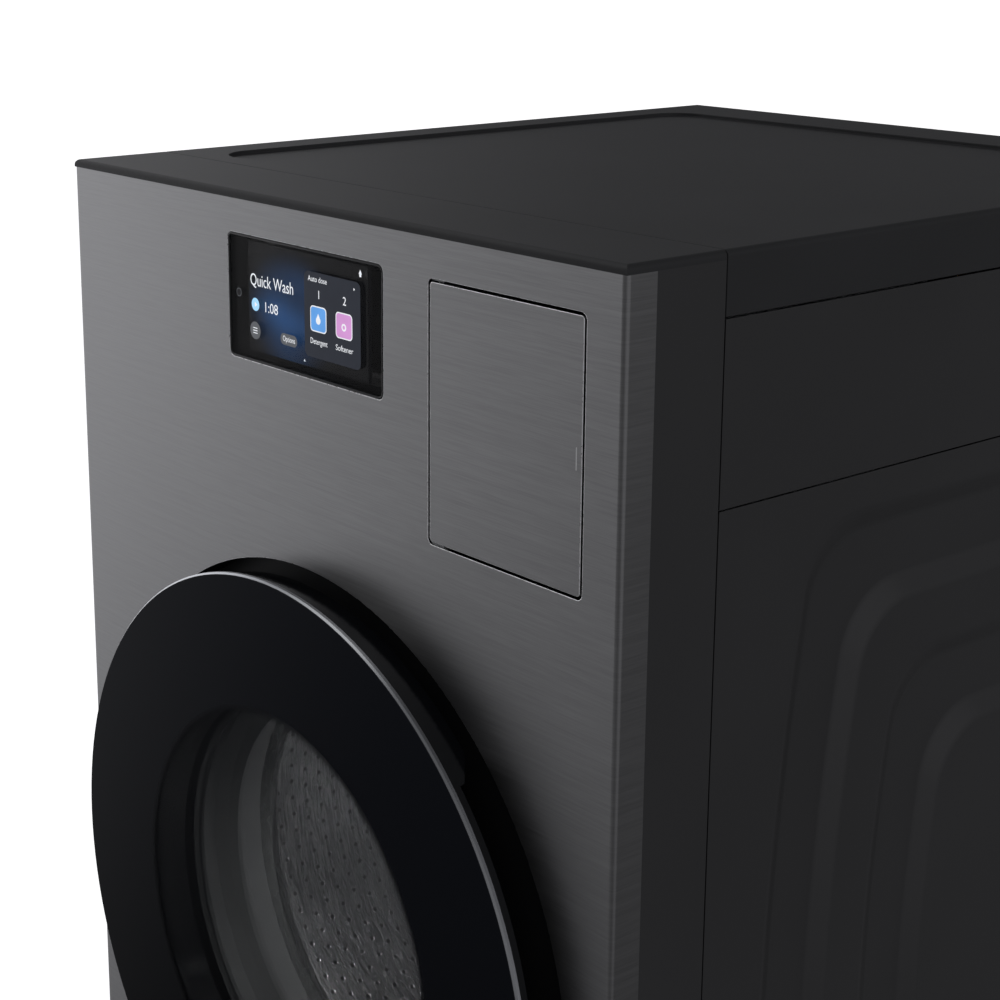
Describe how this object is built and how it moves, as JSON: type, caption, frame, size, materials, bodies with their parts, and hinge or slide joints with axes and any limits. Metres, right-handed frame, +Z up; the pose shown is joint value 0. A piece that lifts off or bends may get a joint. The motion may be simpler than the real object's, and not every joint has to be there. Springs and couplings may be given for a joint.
{
  "type": "washer dryer combo",
  "caption": "Tall all-in-one front-loading washer and heat-pump dryer with a round black glass door, a touch screen and a push-open dispenser door in a brushed steel front.",
  "frame": {"origin": "centre of the overall box, on the floor under the feet", "axes": "+Z up; the front faces -Y; +X to the right of someone facing the front"},
  "size_m": [0.686, 0.875, 1.11],
  "materials": {
    "dark_sheet": "satin powder coat, near black",
    "brushed_front": "fine horizontal brushing, dark silver",
    "zinc_sheet": "zinc coated",
    "dark_mould": "fine moulded grain",
    "black_gloss": "polished black",
    "tinted_glass": "dark tinted, printed black border",
    "clear_glass": "clear",
    "screen": "lit colour screen",
    "circuit_green": "solder mask",
    "light_mould": "light grey moulding",
    "tub_mould": "filled polypropylene",
    "gasket_rubber": "grey moulded rubber",
    "foot_rubber": "black rubber",
    "drum_steel": "polished stainless, perforated",
    "bright_steel": "plated",
    "cast_alloy": "as cast",
    "fin_alloy": "thin fins",
    "copper_pipe": "copper tube",
    "cast_weight": "cast concrete",
    "compressor_paint": "black enamel",
    "white_valve": "white moulding"
  },
  "bodies": {
    "cabinet": {"base_pan": "dark_sheet", "front_frame": "dark_sheet", "front_panel": "brushed_front", "kick_panel": "brushed_front", "front_top_cap": "dark_mould", "top_plate": "dark_mould", "lower_side_panel_right": "dark_sheet", "lower_side_panel_left": "dark_sheet", "upper_side_panels": "dark_sheet", "rear_panel": "zinc_sheet", "rear_cover": "zinc_sheet", "rear_screws": "bright_steel", "display_bezel": "black_gloss", "display_glass": "black_gloss", "lcd_panel": "screen", "control_board": "circuit_green", "dispenser_housing": "light_mould", "door_recess_wall": "dark_mould", "door_bulkhead": "dark_mould", "door_gasket": "gasket_rubber", "door_lock": "dark_mould", "hinge_bracket": "cast_alloy", "hinge_pins": "bright_steel", "suspension_springs": "bright_steel", "dampers": "dark_mould", "heat_pump_shelf": "zinc_sheet", "fan_housing": "dark_mould", "heat_exchangers": "fin_alloy", "compressor": "compressor_paint", "refrigerant_pipes": "copper_pipe", "inlet_valves": "white_valve", "rear_fittings": "dark_mould", "drain_pump": "dark_mould"},
    "tub": {"tub_front": "tub_mould", "tub_rear": "tub_mould", "counterweights": "cast_weight", "shaft_bearings": "bright_steel", "stator": "compressor_paint"},
    "drum": {"drum_shell": "drum_steel", "drum_lifters": "light_mould", "drum_spider": "cast_alloy", "rotor": "compressor_paint"},
    "main_door": {"door_glass": "tinted_glass", "door_rim": "black_gloss", "door_grip": "black_gloss", "door_back_cover": "black_gloss", "door_bowl": "clear_glass", "door_hinge_leaves": "cast_alloy", "latch_hook": "bright_steel"},
    "dispenser_door": {"dispenser_door_skin": "brushed_front", "dispenser_door_liner": "dark_mould"},
    "detergent_drawer": {"detergent_drawer": "light_mould"},
    "lint_filter": {"lint_filter": "light_mould"},
    "service_flap": {"service_flap": "brushed_front"},
    "pump_filter_cap": {"pump_filter_cap": "dark_mould"},
    "fan_wheel": {"fan_wheel": "light_mould"},
    "foot_front_left": {"foot_front_left": "foot_rubber"},
    "foot_front_right": {"foot_front_right": "foot_rubber"},
    "foot_rear_left": {"foot_rear_left": "foot_rubber"},
    "foot_rear_right": {"foot_rear_right": "foot_rubber"}
  },
  "joints": [
    {"name": "main_door_hinge", "type": "hinge", "parent": "cabinet", "child": "main_door", "pos_m": [-0.28, -0.4265, 0.5195], "axis": [0, 0, -1], "range_deg": [0, 135]},
    {"name": "dispenser_door_hinge", "type": "hinge", "parent": "cabinet", "child": "dispenser_door", "pos_m": [0.156, -0.396, 0.978], "axis": [0, 0, -1], "range_deg": [0, 95]},
    {"name": "detergent_drawer_slide", "type": "slide", "parent": "cabinet", "child": "detergent_drawer", "axis": [0, -1, 0], "range_m": [0, 0.133]},
    {"name": "lint_filter_slide", "type": "slide", "parent": "cabinet", "child": "lint_filter", "axis": [0, -1, 0], "range_m": [0, 0.133]},
    {"name": "service_flap_hinge", "type": "hinge", "parent": "cabinet", "child": "service_flap", "pos_m": [-0.25, -0.3985, 0.0515], "axis": [1, 0, 0], "range_deg": [0, 90]},
    {"name": "pump_filter_cap_turn", "type": "hinge", "parent": "cabinet", "child": "pump_filter_cap", "pos_m": [-0.25, -0.3825, 0.088], "axis": [0, -1, 0], "range_deg": [0, 180]},
    {"name": "tub_float", "type": "slide", "parent": "cabinet", "child": "tub", "axis": [0, 0, 1], "range_m": [-0.008, 0.008], "stiffness_N_per_m": 20000, "springref_m": 0.01523, "deforming": ["suspension_springs", "dampers", "door_gasket"]},
    {"name": "drum_spin", "type": "hinge", "parent": "tub", "child": "drum", "pos_m": [0, 0, 0.5195], "axis": [0, 1, 0], "continuous": true},
    {"name": "fan_spin", "type": "hinge", "parent": "cabinet", "child": "fan_wheel", "pos_m": [-0.301, -0.1775, 0.9105], "axis": [1, 0, 0], "continuous": true},
    {"name": "foot_front_left_screw", "type": "slide", "parent": "cabinet", "child": "foot_front_left", "axis": [0, 0, 1], "range_m": [-0.015, 0]},
    {"name": "foot_front_right_screw", "type": "slide", "parent": "cabinet", "child": "foot_front_right", "axis": [0, 0, 1], "range_m": [-0.015, 0]},
    {"name": "foot_rear_left_screw", "type": "slide", "parent": "cabinet", "child": "foot_rear_left", "axis": [0, 0, 1], "range_m": [-0.015, 0]},
    {"name": "foot_rear_right_screw", "type": "slide", "parent": "cabinet", "child": "foot_rear_right", "axis": [0, 0, 1], "range_m": [-0.015, 0]}
  ],
  "couplings": [
    {"joint": "detergent_drawer_slide", "follows": "dispenser_door_hinge", "m_per_rad": 0.08},
    {"joint": "lint_filter_slide", "follows": "dispenser_door_hinge", "m_per_rad": 0.08}
  ]
}
